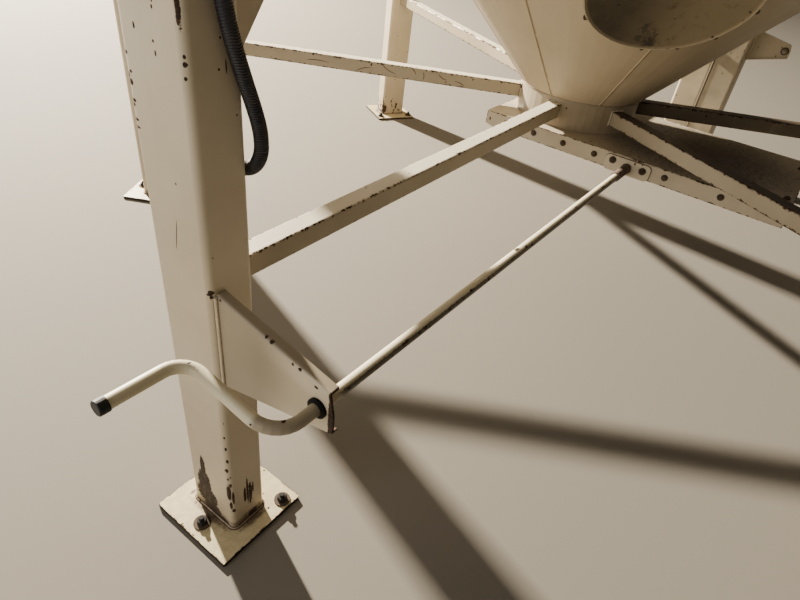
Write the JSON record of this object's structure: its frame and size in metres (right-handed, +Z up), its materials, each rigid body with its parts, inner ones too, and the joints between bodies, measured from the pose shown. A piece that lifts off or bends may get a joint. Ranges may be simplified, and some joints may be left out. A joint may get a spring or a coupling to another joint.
{
  "type": "grain silo hopper base",
  "caption": "Hopper base of a small grain silo: legs on foot plates, cone with manhole and conduit, radial struts, rim flange, and a rack slide gate worked by a long hand crank",
  "frame": {"origin": "on the ground under the middle of the outlet", "axes": "+Z up, +X the way the slide gate opens, -Y towards leg A, which carries the crank bracket"},
  "size_m": [3.6994, 4.0218, 2.6376],
  "materials": {
    "cream_paint": "painted",
    "cone_paint": "painted",
    "bare_steel": "raw, weathered",
    "black_plastic": "matte"
  },
  "bodies": {
    "base": {"leg_a": "cream_paint", "leg_b": "cream_paint", "leg_c": "cream_paint", "leg_d": "cream_paint", "leg_e": "cream_paint", "leg_f": "cream_paint", "leg_d_twin": "cream_paint", "foot_plate_a": "cream_paint", "foot_plate_b": "cream_paint", "foot_plate_c": "cream_paint", "foot_plate_d": "cream_paint", "foot_plate_e": "cream_paint", "foot_plate_f": "cream_paint", "strut_a": "cream_paint", "strut_b": "cream_paint", "strut_c": "cream_paint", "strut_d": "cream_paint", "strut_e": "cream_paint", "strut_f": "cream_paint", "web_a": "cream_paint", "web_b": "cream_paint", "web_c": "cream_paint", "web_d": "cream_paint", "web_e": "cream_paint", "web_f": "cream_paint", "rim_a": "cream_paint", "rim_b": "cream_paint", "rim_c": "cream_paint", "rim_d": "cream_paint", "rim_e": "cream_paint", "rim_f": "cream_paint", "outlet_collar": "cream_paint", "gate_housing": "cream_paint", "bearing_plate_front": "cream_paint", "bearing_plate_back": "cream_paint", "bracket_a": "cream_paint", "bracket_d": "cream_paint", "hopper_panel_1": "cone_paint", "hopper_panel_2": "cone_paint", "hopper_panel_3": "cone_paint", "hopper_panel_4": "cone_paint", "hopper_panel_5": "cone_paint", "hopper_panel_6": "cone_paint", "hopper_panel_7": "cone_paint", "hopper_panel_8": "cone_paint", "manhole_neck": "cone_paint", "manhole_lid": "cone_paint", "crank_bush": "black_plastic", "conduit": "black_plastic", "conduit_box_low": "black_plastic", "conduit_box_top": "black_plastic"},
    "crank": {"crank_rod": "cream_paint", "grip_cap": "black_plastic", "pinion_shaft": "bare_steel", "pinion": "bare_steel"},
    "gate": {"gate_slide": "bare_steel", "gate_rack": "bare_steel"}
  },
  "joints": [
    {"name": "crank_turn", "type": "hinge", "parent": "base", "child": "crank", "pos_m": [0.335, -0.278, 0.614], "axis": [0, 0.9997, -0.0242], "range_deg": [0, 1317]},
    {"name": "gate_slide", "type": "slide", "parent": "base", "child": "gate", "axis": [1, 0, 0], "range_m": [0, 0.46]}
  ],
  "couplings": [
    {"joint": "gate_slide", "follows": "crank_turn", "m_per_rad": 0.02}
  ]
}
